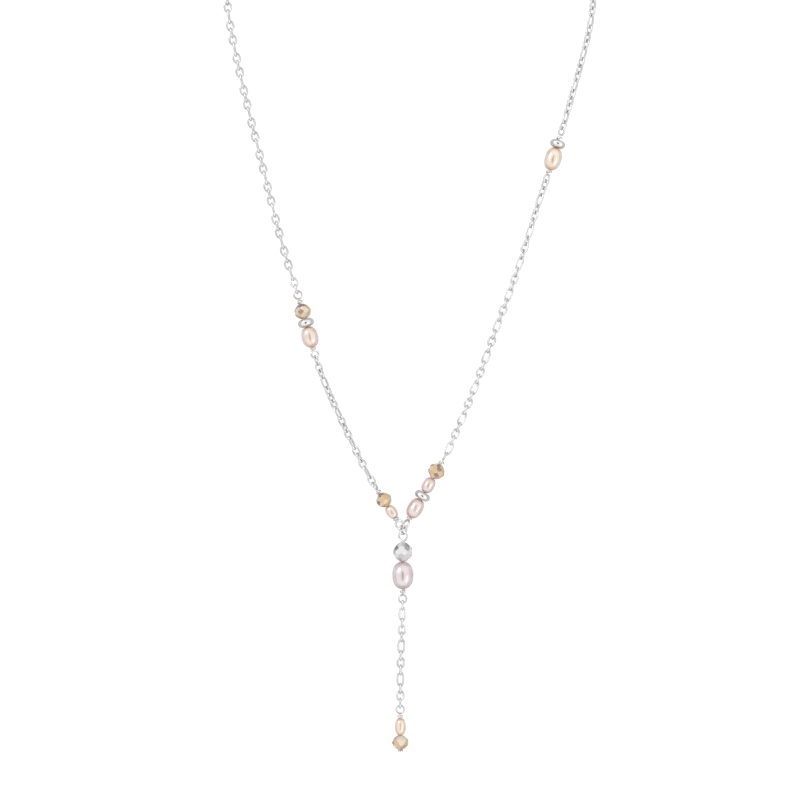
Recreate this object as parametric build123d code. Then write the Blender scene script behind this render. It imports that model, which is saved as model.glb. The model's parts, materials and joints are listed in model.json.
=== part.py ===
from build123d import *

# Y-drop pearl necklace laid flat on a table, clasp undone.
# Millimetres. +Y runs from the drop to the clasp, +Z is up, Z = 0 is the table.
# Every chain link, ring, pin, bead and clasp piece is a solid of its own.

import os
from dataclasses import dataclass
from math import atan2, cos, degrees, pi, radians, sin, sqrt

# ---------------------------------------------------------------- driving sizes
WIRE = 0.55            # wire of links, rings and pins
SLACK = 0.04           # free play between two hooked wires
SMALL_LENGTH = 3.05    # outside length of a small link
SMALL_WIDTH = 2.3
LONG_LENGTH = 4.2      # outside length of a long link
LONG_WIDTH = 2.15
CROWN_SHARE = 0.8      # end radius of a link as a share of its half width

CENTRE_RING_OUTER = 2.8
CENTRE_RING_ROLL = 36.0    # lean of the ring about the drop's line
RING_PLAY = 0.15           # free play of the strands on the centre ring
RING_PLACES = {"left": 128.0, "right": 58.0, "drop": 270.0}   # angle of each contact on the ring
LOOP_OUTER = 2.6           # loop at a pin's chain end
RING_LOOP_OUTER = 3.0      # larger loop at a pin's centre-ring end
BEAD_PLAY = 0.05           # radial clearance of a drill hole round its pin
BEAD_GAP = 0.05            # free play between neighbours on a pin
WRAP_PITCH = 1.03          # wrap pitch in wire diameters
WRAP_BITE = 0.03           # depth to which a wrap is pressed onto its stem
PIN_HEAD_OUTER = 1.5
PIN_HEAD_THICK = 0.45
PIN_HEAD_ROUND = 0.18

SEAT_SHARE = 1.03          # a pearl's oval is this much longer than its cut-off ends
PEARL_END_SHARE = 0.84     # end radius of a pearl as a share of its half width
RONDELLE_ROUND = 0.42      # rim radius of a rondelle as a share of its thickness
CRYSTAL_SIDES = 8          # facets in each row of a crystal
CRYSTAL_ROWS = (0.0, 34.0, 64.0)   # latitude of the facet rows, mirrored about the girdle

CLASP_WIRE = 0.6           # eye of the clasp
CLASP_EYE_OUTER = 3.0
CLASP_THICK = 2.2
BARREL_LENGTH = 3.4
BARREL_WIDTH = 3.2
BARREL_ROUND = 0.8
BARREL_SEAT = 0.35         # overlap of the barrel with its eye and its hook
HOOK_RADIUS = 2.25         # to the middle of the hook's bar
HOOK_BAR = 1.15
HOOK_ROUND = 0.45
HOOK_END = 72.0            # angle of the hook's free end
HOOK_START = -165.0        # angle where the hook leaves the barrel
HOOK_SPARE = 20.0          # extra turn of hook that the lever's swing trims off
LEVER_THICK = 0.8
LEVER_ROUND = 0.3
LEVER_GAP = 0.08           # between the lever's nose and the hook's end
LEVER_SIDE_GAP = 0.06      # between neighbours in the barrel's slot
LEVER_NOSE = 57.0          # angles round the hook's middle: nose, neck and back end of the lever
LEVER_NECK = 146.0
LEVER_BACK = 150.0
PIVOT_BACK = 0.9           # pivot, measured back from the barrel's front end
PIVOT_UP = 0.62
RIVET_OUTER = 0.8
RIVET_FIT = 0.01
LEVER_FIT = 0.05
LEVER_BOSS = 1.5
LEVER_TAB = 1.9            # reach of the thumb tab from the pivot
LEVER_TAB_WIDTH = 0.8
LEVER_TAB_TURN = 118.0     # direction of the thumb tab
LEVER_KNOB_OUTER = 1.1
SPRING_WIRE = 0.18
SPRING_TURNS = 2.0
SPRING_PITCH = 1.12        # in spring wire diameters
CLASP_RING_OUTER = 2.9
END_RING_OUTER = 4.8
END_RING_WIRE = 0.6

RAMP = 0.22                # steepest climb of the chain up to a bead station

# Routes on the table, from the centre ring outwards.  Each is scaled to its strand's length.
LEFT_ROUTE = [
    (-0.7, 0.4), (-5.2, 7.6), (-11.3, 18.5), (-17.3, 31.0), (-22.4, 43.1), (-26.2, 56.6),
    (-31.5, 73.4), (-35.0, 86.6), (-38.3, 99.9), (-41.6, 113.1), (-44.6, 126.3), (-46.9, 139.0),
    (-46.6, 152.0), (-41.4, 164.4), (-31.2, 173.6), (-17.5, 178.8), (-2.0, 180.3),
]
RIGHT_ROUTE = [
    (0.7, 0.4), (6.0, 9.4), (12.6, 22.4), (17.4, 33.6), (21.5, 44.2), (25.3, 54.8),
    (29.2, 65.4), (32.7, 76.0), (35.6, 85.4), (39.6, 97.4), (43.0, 108.6), (48.0, 126.3),
    (50.6, 139.0), (50.2, 152.0), (45.0, 164.4), (35.0, 173.6), (21.5, 178.8), (7.0, 180.3),
]
DROP_ROUTE = [
    (0.0, -0.6), (-0.25, -9.0), (-0.1, -18.8), (-0.5, -32.0), (-0.75, -48.5), (-0.6, -62.0),
]
ROUTES = {"left": LEFT_ROUTE, "right": RIGHT_ROUTE, "drop": DROP_ROUTE}
ROUTE_STEPS = 900


# ---------------------------------------------------------------- what is strung
@dataclass
class Bead:
    name: str
    shape: str          # pearl, crystal or rondelle
    width: float
    length: float


@dataclass
class Pin:
    name: str
    beads: list
    near_loop: float
    near_wrap: float    # length of the wire wrap below the beads
    far_loop: float     # 0 makes a flat head instead
    far_wrap: float


@dataclass
class Chain:
    name: str
    count: int
    segments: int
    first_long: int     # index of the first long link
    roll: tuple         # roll of the first and last link about the chain, degrees


@dataclass
class Ring:
    name: str
    outer: float
    wire: float
    roll: float


@dataclass
class Clasp:
    name: str
    roll: float = 0.0


LEFT_STRAND = [
    Pin("left_lower_pin",
        [Bead("left_lower_pearl", "pearl", 2.85, 3.7),
         Bead("left_lower_crystal", "crystal", 3.95, 3.85)],
        RING_LOOP_OUTER, 0.6, LOOP_OUTER, 1.2),
    Chain("left_lower_chain", 17, 3, 1, (20.0, 65.0)),
    Pin("left_upper_pin",
        [Bead("left_upper_pearl", "pearl", 4.45, 5.6),
         Bead("left_upper_rondelle", "rondelle", 4.35, 2.1),
         Bead("left_upper_crystal", "crystal", 4.15, 4.1)],
        LOOP_OUTER, 0.7, LOOP_OUTER, 1.2),
    Chain("left_upper_chain", 62, 11, 2, (90.0, 90.0)),
    Ring("clasp_jump_ring", CLASP_RING_OUTER, CLASP_WIRE, 90.0),
    Clasp("clasp"),
]
RIGHT_STRAND = [
    Pin("right_lower_pin",
        [Bead("right_lower_pearl", "pearl", 4.1, 5.55),
         Bead("right_lower_rondelle", "rondelle", 4.3, 2.0),
         Bead("right_lower_small_pearl", "pearl", 3.3, 4.3),
         Bead("right_lower_crystal", "crystal", 4.2, 4.2)],
        RING_LOOP_OUTER, 0.6, LOOP_OUTER, 1.2),
    Chain("right_lower_chain", 35, 6, 0, (0.0, 45.0)),
    Pin("right_upper_pin",
        [Bead("right_upper_pearl", "pearl", 4.5, 6.1),
         Bead("right_upper_rondelle", "rondelle", 4.1, 2.1)],
        LOOP_OUTER, 1.1, LOOP_OUTER, 1.2),
    Chain("right_upper_chain", 45, 8, 1, (45.0, 90.0)),
    Ring("end_ring", END_RING_OUTER, END_RING_WIRE, 0.0),
]
DROP_STRAND = [
    Pin("drop_upper_pin",
        [Bead("drop_clear_ball", "crystal", 4.8, 5.15),
         Bead("drop_large_pearl", "pearl", 5.7, 7.2)],
        RING_LOOP_OUTER, 0.0, LOOP_OUTER, 1.3),
    Chain("drop_chain", 13, 3, 1, (90.0, 90.0)),
    Pin("drop_tip_pin",
        [Bead("drop_tip_pearl", "pearl", 2.95, 4.5),
         Bead("drop_tip_crystal", "crystal", 4.05, 3.85)],
        LOOP_OUTER, 1.0, 0.0, 0.0),
]

STRANDS = {"left": LEFT_STRAND, "right": RIGHT_STRAND, "drop": DROP_STRAND}

# roll of each pin's loops about the strand, degrees: near end, far end
LOOP_ROLLS = {
    "left_lower_pin": (36.0, -70.0),
    "left_upper_pin": (-25.0, 0.0),
    "right_lower_pin": (62.0, 90.0),
    "right_upper_pin": (-45.0, -45.0),
    "drop_upper_pin": (-31.0, 0.0),
    "drop_tip_pin": (0.0, 0.0),
}


# ---------------------------------------------------------------- layout
@dataclass
class Placed:
    """One strung piece between two contact points, with its loops' planes."""
    piece: object
    near: Vector
    far: Vector
    near_roll: float
    far_roll: float
    near_wire: float
    far_wire: float
    body: str = ""
    long: bool = False

    @property
    def along(self):
        return (self.far - self.near).normalized()

    def normal(self, roll):
        """Normal of a flat loop that is rolled about the piece's own axis."""
        t = self.along
        up = (Vector(0, 0, 1) - t * t.Z).normalized()
        side = up.cross(t)
        return up * cos(radians(roll)) + side * sin(radians(roll))

    def crown(self, at_far_end):
        """Middle and direction of the wire that the neighbour is hooked round."""
        if at_far_end:
            middle = self.far + self.along * (self.far_wire + SLACK) / 2
            return middle, self.normal(self.far_roll).cross(self.along)
        middle = self.near - self.along * (self.near_wire + SLACK) / 2
        return middle, self.normal(self.near_roll).cross(self.along)

    def plane(self, roll, distance):
        """Plane of a loop that lies at a distance from the near contact point."""
        return Plane(self.near + self.along * distance, x_dir=self.along, z_dir=self.normal(roll))


def hook_reach(outer, wire):
    """From the middle of a loop to its contact point with the next wire."""
    return outer / 2 - wire - SLACK / 2


def link_length(is_long):
    return LONG_LENGTH if is_long else SMALL_LENGTH


def end_length(loop, wrap):
    """From a pin's contact point to its first bead."""
    if loop == 0:
        return 0.0
    return hook_reach(loop, WIRE) + loop / 2 + max(wrap, BEAD_GAP)


def beads_length(pin):
    return sum(bead.length + BEAD_GAP for bead in pin.beads) - BEAD_GAP


def pin_span(pin):
    """Between a pin's two contact points, or to the end of its head."""
    tail = PIN_HEAD_THICK + BEAD_GAP if pin.far_loop == 0 else end_length(pin.far_loop, pin.far_wrap)
    return end_length(pin.near_loop, pin.near_wrap) + beads_length(pin) + tail


def clasp_sizes():
    """Places along the clasp, measured from its contact point."""
    eye = hook_reach(CLASP_EYE_OUTER, CLASP_WIRE)
    barrel = eye + CLASP_EYE_OUTER / 2 - BARREL_SEAT
    front = barrel + BARREL_LENGTH
    hook = front + HOOK_RADIUS + HOOK_BAR / 2 - HOOK_BAR
    return {"eye": eye, "barrel": barrel, "front": front, "hook": hook,
            "tip": hook + HOOK_RADIUS + HOOK_BAR / 2}


def bead_places(pin):
    """Centre of each bead, measured from the pin's near contact point."""
    place = end_length(pin.near_loop, pin.near_wrap)
    centres = []
    for bead in pin.beads:
        centres.append(place + bead.length / 2)
        place += bead.length + BEAD_GAP
    return centres


def unroll(strand):
    """List every piece of a strand with its span, rolls, wires, half height and body."""
    rows = []
    for item in strand:
        if isinstance(item, Pin):
            near_roll, far_roll = LOOP_ROLLS[item.name]
            rows.append((item, pin_span(item), near_roll, far_roll, WIRE, WIRE, item.name, False))
        elif isinstance(item, Chain):
            per_segment = item.count / item.segments
            for i in range(item.count):
                share = (i / (item.count - 1)) ** 2
                roll = item.roll[0] + (item.roll[1] - item.roll[0]) * share + 90.0 * (i % 2)
                is_long = (i - item.first_long) % 4 == 0
                span = link_length(is_long) - 2 * WIRE - SLACK
                body = f"{item.name}_{int(i / per_segment) + 1}"
                rows.append((item, span, roll, roll, WIRE, WIRE, body, is_long))
        elif isinstance(item, Ring):
            span = 2 * hook_reach(item.outer, item.wire)
            rows.append((item, span, item.roll, item.roll, item.wire, item.wire, item.name, False))
        else:
            span = clasp_sizes()["tip"]
            rows.append((item, span, item.roll, item.roll, CLASP_WIRE, CLASP_WIRE, item.name, False))
    return rows


def half_height(item):
    """Height at which a piece's axis lies when the piece rests on the table."""
    if isinstance(item, Ring):
        return item.outer / 2 if item.roll else item.wire / 2
    if isinstance(item, Clasp):
        return CLASP_THICK / 2
    return max(SMALL_WIDTH, LONG_WIDTH) / 2


def contact_heights(rows, start_height):
    """Height of every contact point: beads rest on the table and the chain ramps up to them."""
    count = len(rows)
    heights = [0.0] * (count + 1)
    heights[0] = start_height
    fixed = {0}
    for i, row in enumerate(rows):
        item, span = row[0], row[1]
        if isinstance(item, Pin):
            places = bead_places(item)
            if i == 0:
                lifts = [start_height + (bead.width / 2 - start_height) * span / place
                         for bead, place in zip(item.beads, places)]
                heights[1] = max(lifts + [SMALL_WIDTH / 2])
                fixed.add(1)
            else:
                rest = max(bead.width / 2 for bead in item.beads)
                heights[i] = max(heights[i], rest)
                heights[i + 1] = max(heights[i + 1], rest)
                fixed.update((i, i + 1))
        elif not isinstance(item, Chain):
            for end in (i, i + 1):
                heights[end] = max(heights[end], half_height(item))
        if isinstance(item, Ring) and i == count - 1:
            heights[i] = max(heights[i], SMALL_WIDTH / 2)
    for i, row in enumerate(rows):
        if isinstance(row[0], Chain):
            for end in (i, i + 1):
                if end not in fixed:
                    heights[end] = max(heights[end], half_height(row[0]))
    for i in range(count):
        if i + 1 not in fixed and not isinstance(rows[i][0], (Pin, Clasp)):
            heights[i + 1] = max(heights[i + 1], heights[i] - RAMP * rows[i][1])
    for i in reversed(range(1, count)):
        if i not in fixed and not isinstance(rows[i][0], Pin):
            heights[i] = max(heights[i], heights[i + 1] - RAMP * rows[i][1])
    if isinstance(rows[-1][0], (Ring, Clasp)):
        heights[-1] = half_height(rows[-1][0])
    return heights


def route_points(route):
    curve = Spline(*[Vector(x, y, 0) for x, y in route])
    return [curve @ (i / ROUTE_STEPS) for i in range(ROUTE_STEPS + 1)]


def lay_strand(strand, route, start, fit_to_length):
    """Walk the strand along its route and return its pieces in place."""
    rows = unroll(strand)
    heights = contact_heights(rows, start.Z)
    points = route_points(route)
    steps = [sqrt(row[1] ** 2 - (heights[i + 1] - heights[i]) ** 2) for i, row in enumerate(rows)]
    if fit_to_length:
        total = sum((b - a).length for a, b in zip(points, points[1:]))
        scale = sum(steps) / total
        points = [point * scale for point in points]
    flat = Vector(start.X, start.Y, 0)
    first = min(range(len(points)), key=lambda i: (points[i] - flat).length)
    points = [flat] + points[first + 1:]
    placed = []
    index = 0
    here = flat
    for i, row in enumerate(rows):
        there, index = step_along(points, index, here, steps[i])
        item, _, near_roll, far_roll, near_wire, far_wire, body, is_long = row
        near = Vector(here.X, here.Y, heights[i])
        far = Vector(there.X, there.Y, heights[i + 1])
        placed.append(Placed(item, near, far, near_roll, far_roll, near_wire, far_wire, body, is_long))
        here = there
    return placed


def step_along(points, index, here, step):
    """Next point of the polyline that lies one straight step away."""
    while index + 1 < len(points) and (points[index + 1] - here).length < step:
        index += 1
    low = points[index]
    if index + 1 < len(points):
        high = points[index + 1]
    else:
        high = low + (low - points[index - 1]).normalized() * step
    if (low - here).length > step:
        low = here
    for _ in range(40):
        middle = (low + high) * 0.5
        if (middle - here).length < step:
            low = middle
        else:
            high = middle
    return low, index


def ring_direction(angle):
    """Direction from the centre ring's middle to a place on it."""
    lean = radians(CENTRE_RING_ROLL)
    across = Vector(cos(lean), 0, -sin(lean))
    return across * cos(radians(angle)) + Vector(0, 1, 0) * sin(radians(angle))


def ring_contact(name):
    """Where a strand pulls on the inside of the centre ring, from the ring's middle."""
    reach = CENTRE_RING_OUTER / 2 - WIRE - RING_PLAY / 2
    return ring_direction(RING_PLACES[name]) * reach


def centre_ring_height():
    """The ring hangs high enough for every strand's first bead to rest on the table."""
    return max(strand[0].beads[0].width / 2 - ring_contact(name).Z for name, strand in STRANDS.items())


def lay_out():
    """Every strung piece in place, by strand."""
    middle = Vector(0, 0, centre_ring_height())
    return {
        name: lay_strand(strand, ROUTES[name], middle + ring_contact(name), name != "drop")
        for name, strand in STRANDS.items()
    }


def hinge_line(parent, child, upright):
    """Wire about which the child turns: of the two hooked wires, the more upright or the flatter."""
    lines = [child.crown(False)]
    if parent:
        lines.append(parent.crown(True))
    pick = max if upright else min
    return pick(lines, key=lambda line: abs(line[1].Z))


def hinge_table():
    """Every hinge of the chain: parent body, child body, point and direction."""
    table = []
    for pieces in lay_out().values():
        parent = None
        for place in pieces:
            parent_body = parent.body if parent else "centre_ring"
            if place.body != parent_body:
                upright = hinge_line(parent, place, True)
                level = hinge_line(parent, place, False)
                table.append((parent_body, place.body, upright, level))
            parent = place
    return table


# ---------------------------------------------------------------- solids
def oval_arcs(a, b, end):
    """Four tangent arcs of an oval with half length a, half width b and end radius end."""
    side = ((a - end) ** 2 + b * b - end * end) / (2 * (b - end))
    lean = degrees(atan2(side - b, a - end))
    return [
        CenterArc((a - end, 0), end, -lean, 2 * lean),
        CenterArc((0, b - side), side, lean, 180 - 2 * lean),
        CenterArc((end - a, 0), end, 180 - lean, 2 * lean),
        CenterArc((0, side - b), side, 180 + lean, 180 - 2 * lean),
    ]


def oval_link(length, width):
    """One link: round wire along an oval."""
    b = (width - WIRE) / 2
    path = Wire(oval_arcs((length - WIRE) / 2, b, CROWN_SHARE * b))
    section = Plane(path @ 0, z_dir=path % 0) * Circle(WIRE / 2)
    return sweep(section, path=path).solid()


def wire_ring(outer, wire):
    return Torus((outer - wire) / 2, wire / 2).solid()


def wrap(length):
    """Wire wound round a stem that runs along X, from X = 0 to the given length."""
    pitch = WIRE * WRAP_PITCH
    height = length - WIRE
    coil = Helix(pitch=pitch, height=height, radius=WIRE - WRAP_BITE)
    section = Plane(coil @ 0, z_dir=coil % 0) * Circle(WIRE / 2)
    turns = sweep(section, path=coil, is_frenet=True)
    return Pos(WIRE / 2, 0, 0) * Rot(0, 90, 0) * turns


def pin_solid(place):
    """A pin's wire: loop, wrap, straight stem, wrap and loop, or a flat head."""
    pin = place.piece
    span = pin_span(pin)
    near_middle = hook_reach(pin.near_loop, WIRE)
    stem_start = near_middle + (pin.near_loop - WIRE) / 2
    if pin.far_loop:
        far_middle = span - hook_reach(pin.far_loop, WIRE)
        stem_end = far_middle - (pin.far_loop - WIRE) / 2
    else:
        stem_end = span - PIN_HEAD_THICK / 2
    # the stem's seam is turned to lie between the planes of the two loops
    seam = 45 - (place.near_roll + place.far_roll) / 2
    stem = Rot(seam, 0, 0) * Rot(0, 90, 0) * Cylinder(WIRE / 2, stem_end - stem_start)
    solid = Pos((stem_start + stem_end) / 2, 0, 0) * stem
    solid += Pos(near_middle, 0, 0) * Rot(-place.near_roll, 0, 0) * wire_ring(pin.near_loop, WIRE)
    if pin.near_wrap >= WIRE * 2:
        solid += Pos(near_middle + pin.near_loop / 2, 0, 0) * wrap(pin.near_wrap)
    elif pin.near_wrap:
        middle = near_middle + pin.near_loop / 2 + pin.near_wrap / 2
        solid += Pos(middle, 0, 0) * Rot(0, 90, 0) * Torus(WIRE - WRAP_BITE, WIRE / 2)
    if pin.far_loop:
        solid += Pos(far_middle, 0, 0) * Rot(-place.far_roll, 0, 0) * wire_ring(pin.far_loop, WIRE)
        solid += Pos(far_middle - pin.far_loop / 2 - pin.far_wrap, 0, 0) * wrap(pin.far_wrap)
    else:
        head = Cylinder(PIN_HEAD_OUTER / 2, PIN_HEAD_THICK)
        head = fillet(head.edges().filter_by(GeomType.CIRCLE), PIN_HEAD_ROUND)
        solid += Pos(span - PIN_HEAD_THICK / 2, 0, 0) * Rot(0, 90, 0) * head
    return solid.solid()


def drilled(body, length):
    """Bead with its drill hole along X."""
    hole = Rot(0, 90, 0) * Cylinder(WIRE / 2 + BEAD_PLAY, length * 2)
    return (body - hole).solid()


def pearl(width, length):
    """Blunt oval of revolution with small flats where the drill hole comes out."""
    half = length / 2 * SEAT_SHARE
    outline = make_face(Wire(oval_arcs(half, width / 2, PEARL_END_SHARE * width / 2)))
    upper = Pos(0, width / 2, 0) * Rectangle(length * 2, width)
    body = revolve(outline & upper, Axis.X)
    body &= Box(length, width * 2, width * 2)
    return drilled(body, length)


def rondelle(width, length):
    """Puffed disc with a round rim."""
    disc = Rot(0, 90, 0) * Cylinder(width / 2, length)
    rim = fillet(disc.edges().filter_by(GeomType.CIRCLE), length * RONDELLE_ROUND)
    return drilled(rim, length)


def crystal(width, length):
    """Faceted round bead: rows of flat facets cut off a plain blank."""
    stretch = length / width
    reach = width / 2
    body = Box(length, width * 2, width * 2)
    for row, latitude in enumerate(CRYSTAL_ROWS):
        for side in (1, -1):
            if row == 0 and side == -1:
                continue
            for i in range(CRYSTAL_SIDES):
                turn = 2 * pi * (i + 0.5 * (row % 2)) / CRYSTAL_SIDES
                lean = radians(latitude) * side
                direction = Vector(sin(lean) / stretch, cos(lean) * cos(turn), cos(lean) * sin(turn))
                point = Vector(sin(lean) * stretch, cos(lean) * cos(turn), cos(lean) * sin(turn)) * reach
                body = split(body, bisect_by=Plane(point, z_dir=direction), keep=Keep.BOTTOM)
    return drilled(body, length)


def bead_solid(bead):
    maker = {"pearl": pearl, "rondelle": rondelle, "crystal": crystal}[bead.shape]
    return maker(bead.width, bead.length)


# The clasp is drawn with its contact point at the origin, its hook along +X and its lever on +Y.
def pivot_point():
    return Vector(clasp_sizes()["front"] - PIVOT_BACK, PIVOT_UP, 0)


def lever_reach():
    """From the pivot to the lever's nose, just short of the hook's free end."""
    return (from_hook(HOOK_END) - pivot_point()).length - LEVER_GAP / 2


def spring_height():
    return SPRING_WIRE * (SPRING_PITCH * SPRING_TURNS + 1)


def slot_width():
    """The slot holds the lever and its spring side by side."""
    return LEVER_THICK + spring_height() + 3 * LEVER_SIDE_GAP


def from_hook(angle):
    """Point on the middle line of the hook."""
    return Vector(clasp_sizes()["hook"], 0, 0) + Vector(cos(radians(angle)), sin(radians(angle)), 0) * HOOK_RADIUS


def hook_bar(start, end, thick, rounding):
    """Bar bent round the hook's middle from one angle to another."""
    section = Plane.XZ * Pos(HOOK_RADIUS, 0, 0) * RectangleRounded(HOOK_BAR, thick, rounding)
    bar = revolve(section, Axis.Z, revolution_arc=end - start)
    return Pos(clasp_sizes()["hook"], 0, 0) * Rot(0, 0, start) * bar


def clasp_body():
    at = clasp_sizes()
    pivot = pivot_point()
    eye = Pos(at["eye"], 0, 0) * wire_ring(CLASP_EYE_OUTER, CLASP_WIRE)
    section = Plane.YZ * RectangleRounded(BARREL_WIDTH, CLASP_THICK, BARREL_ROUND)
    barrel = Pos(at["barrel"], 0, 0) * extrude(section, BARREL_LENGTH)
    barrel = fillet(barrel.edges().group_by(Axis.X)[0], HOOK_ROUND)
    hook = hook_bar(HOOK_START, HOOK_END + HOOK_SPARE, CLASP_THICK, HOOK_ROUND)
    swing = Pos(pivot) * Cylinder(lever_reach() + LEVER_GAP, CLASP_THICK * 2)
    free_side = Pos(at["hook"], BARREL_WIDTH, 0) * Box(HOOK_RADIUS * 4, BARREL_WIDTH * 2, CLASP_THICK * 2)
    hook -= swing & free_side
    slot_back = pivot.X - LEVER_TAB
    slot = Box(at["hook"] - slot_back, BARREL_WIDTH, slot_width(), align=(Align.MIN, Align.MIN, Align.CENTER))
    floor = pivot.Y - LEVER_BOSS / 2 - LEVER_SIDE_GAP
    slotted = barrel + hook - Pos(slot_back, floor, 0) * slot
    bore = Pos(pivot) * Cylinder(RIVET_OUTER / 2 + RIVET_FIT, CLASP_THICK * 2)
    return (eye + slotted - bore).solid()


def clasp_lever():
    pivot = pivot_point()
    neck_line = from_hook(LEVER_NECK) - pivot
    neck_turn = degrees(atan2(neck_line.Y, neck_line.X))
    tab_end = Vector(cos(radians(LEVER_TAB_TURN)), sin(radians(LEVER_TAB_TURN)), 0) * LEVER_TAB
    from_pivot = (Align.MIN, Align.CENTER, Align.CENTER)
    boss = Pos(pivot) * Cylinder(LEVER_BOSS / 2, LEVER_THICK)
    bar = hook_bar(LEVER_NOSE, LEVER_BACK, LEVER_THICK, LEVER_ROUND)
    neck = Rot(0, 0, neck_turn) * Box(neck_line.length, HOOK_BAR, LEVER_THICK, align=from_pivot)
    tab = Rot(0, 0, LEVER_TAB_TURN) * Box(LEVER_TAB, LEVER_TAB_WIDTH, LEVER_THICK, align=from_pivot)
    knob = Pos(pivot + tab_end) * Cylinder(LEVER_KNOB_OUTER / 2, LEVER_THICK)
    reach = Pos(pivot) * Cylinder(lever_reach(), CLASP_THICK * 2)
    lever = (boss + bar + Pos(pivot) * neck + Pos(pivot) * tab + knob) & reach
    lever -= Pos(pivot) * Cylinder(RIVET_OUTER / 2 + LEVER_FIT, CLASP_THICK * 2)
    middle = -slot_width() / 2 + LEVER_SIDE_GAP + LEVER_THICK / 2
    return (Pos(0, 0, middle) * lever).solid()


def clasp_rivet():
    return (Pos(pivot_point()) * Cylinder(RIVET_OUTER / 2, CLASP_THICK)).solid()


def clasp_spring():
    """Torsion coil round the rivet, beside the lever in the slot."""
    radius = RIVET_OUTER / 2 + LEVER_FIT + SPRING_WIRE / 2
    pitch = SPRING_WIRE * SPRING_PITCH
    coil = Helix(pitch=pitch, height=pitch * SPRING_TURNS, radius=radius)
    section = Plane(coil @ 0, z_dir=coil % 0) * Circle(SPRING_WIRE / 2)
    turns = sweep(section, path=coil, is_frenet=True)
    bottom = slot_width() / 2 - LEVER_SIDE_GAP - spring_height() + SPRING_WIRE / 2
    return (Pos(pivot_point() + Vector(0, 0, bottom)) * turns).solid()


# ---------------------------------------------------------------- assembly
def build_nodes():
    """All nodes by name, each a list of solids."""
    nodes = {}
    height = centre_ring_height()
    ring = wire_ring(CENTRE_RING_OUTER, WIRE)
    nodes["centre_ring"] = [ring.moved(Location((0, 0, height), (0, CENTRE_RING_ROLL, 0)))]
    small = oval_link(SMALL_LENGTH, SMALL_WIDTH)
    long = oval_link(LONG_LENGTH, LONG_WIDTH)
    for pieces in lay_out().values():
        for place in pieces:
            item = place.piece
            if isinstance(item, Chain):
                middle = (place.far - place.near).length / 2
                link = long if place.long else small
                frame = place.plane(place.near_roll, middle)
                nodes.setdefault(place.body, []).append(link.moved(frame.location))
            elif isinstance(item, Ring):
                frame = place.plane(place.near_roll, hook_reach(item.outer, item.wire))
                nodes[item.name] = [wire_ring(item.outer, item.wire).moved(frame.location)]
            elif isinstance(item, Pin):
                frame = place.plane(0.0, 0.0)
                nodes[item.name] = [pin_solid(place).moved(frame.location)]
                for bead, centre in zip(item.beads, bead_places(item)):
                    frame = place.plane(0.0, centre)
                    nodes[bead.name] = [bead_solid(bead).moved(frame.location)]
            else:
                frame = place.plane(place.near_roll, 0.0)
                for maker in (clasp_body, clasp_lever, clasp_rivet, clasp_spring):
                    nodes[maker.__name__] = [maker().moved(frame.location)]
    return nodes


def base_shift(nodes):
    """Move that puts the origin at the middle of the whole piece, on the table."""
    box = Compound([solid for solids in nodes.values() for solid in solids]).bounding_box()
    return Vector(-(box.min.X + box.max.X) / 2, -(box.min.Y + box.max.Y) / 2, -box.min.Z)


def main():
    nodes = build_nodes()
    shift = Location(base_shift(nodes))
    os.makedirs("parts", exist_ok=True)
    for name, solids in nodes.items():
        moved = [solid.moved(shift) for solid in solids]
        shape = moved[0] if len(moved) == 1 else Compound(moved)
        export_step(shape, f"parts/{name}.step")
    print(len(nodes), "nodes,", sum(len(s) for s in nodes.values()), "solids")
    for parent, child, *lines in hinge_table():
        for kind, (point, direction) in zip(("swings sideways", "lifts"), lines):
            place = point + Vector(shift.position)
            print(f"{child} {kind} on {parent} at {place} about {direction}")


if __name__ == "__main__":
    main()
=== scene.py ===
import json
import math
import random

import bmesh
import bpy
import numpy as np
from bpy.props import FloatProperty, FloatVectorProperty, IntProperty, PointerProperty
from mathutils import Matrix, Vector


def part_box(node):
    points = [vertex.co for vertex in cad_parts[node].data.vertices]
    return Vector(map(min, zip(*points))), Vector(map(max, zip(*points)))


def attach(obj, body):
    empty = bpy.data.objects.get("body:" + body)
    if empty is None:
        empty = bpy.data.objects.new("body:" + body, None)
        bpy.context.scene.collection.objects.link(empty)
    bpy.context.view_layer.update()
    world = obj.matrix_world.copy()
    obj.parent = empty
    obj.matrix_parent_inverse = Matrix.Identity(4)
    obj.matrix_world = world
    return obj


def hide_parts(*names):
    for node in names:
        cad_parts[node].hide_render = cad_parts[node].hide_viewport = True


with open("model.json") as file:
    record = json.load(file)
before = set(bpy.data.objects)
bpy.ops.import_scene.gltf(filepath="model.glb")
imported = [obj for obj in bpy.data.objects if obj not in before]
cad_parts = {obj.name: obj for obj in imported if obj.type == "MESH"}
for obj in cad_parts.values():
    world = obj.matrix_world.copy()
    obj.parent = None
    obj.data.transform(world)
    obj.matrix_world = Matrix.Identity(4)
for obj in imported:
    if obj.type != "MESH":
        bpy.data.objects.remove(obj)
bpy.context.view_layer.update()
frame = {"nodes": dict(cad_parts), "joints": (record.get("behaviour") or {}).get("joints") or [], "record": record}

bl_info = {
    "name": "Pearl Y-Drop Necklace",
    "version": (1, 0, 0),
    "blender": (4, 5, 0),
    "location": "3D View > Sidebar > Necklace",
    "description": "Finishes a wire-wrapped pearl and crystal chain necklace",
    "category": "Object",
}

MM = 0.001
WELD = 1e-7            # vertices nearer than this are the same point
LONG_LINK = 3.6 * MM   # a link longer than this is a long one
BLUNTNESS = 0.88       # under 1 fills out a pearl's oval towards its ends
PEARL_TONES = {"drop_large_pearl": "lavender", "drop_tip_pearl": "honey", "right_upper_pearl": "honey",
               "right_lower_pearl": "rose", "right_lower_small_pearl": "rose"}   # the other pearls are peach
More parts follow.
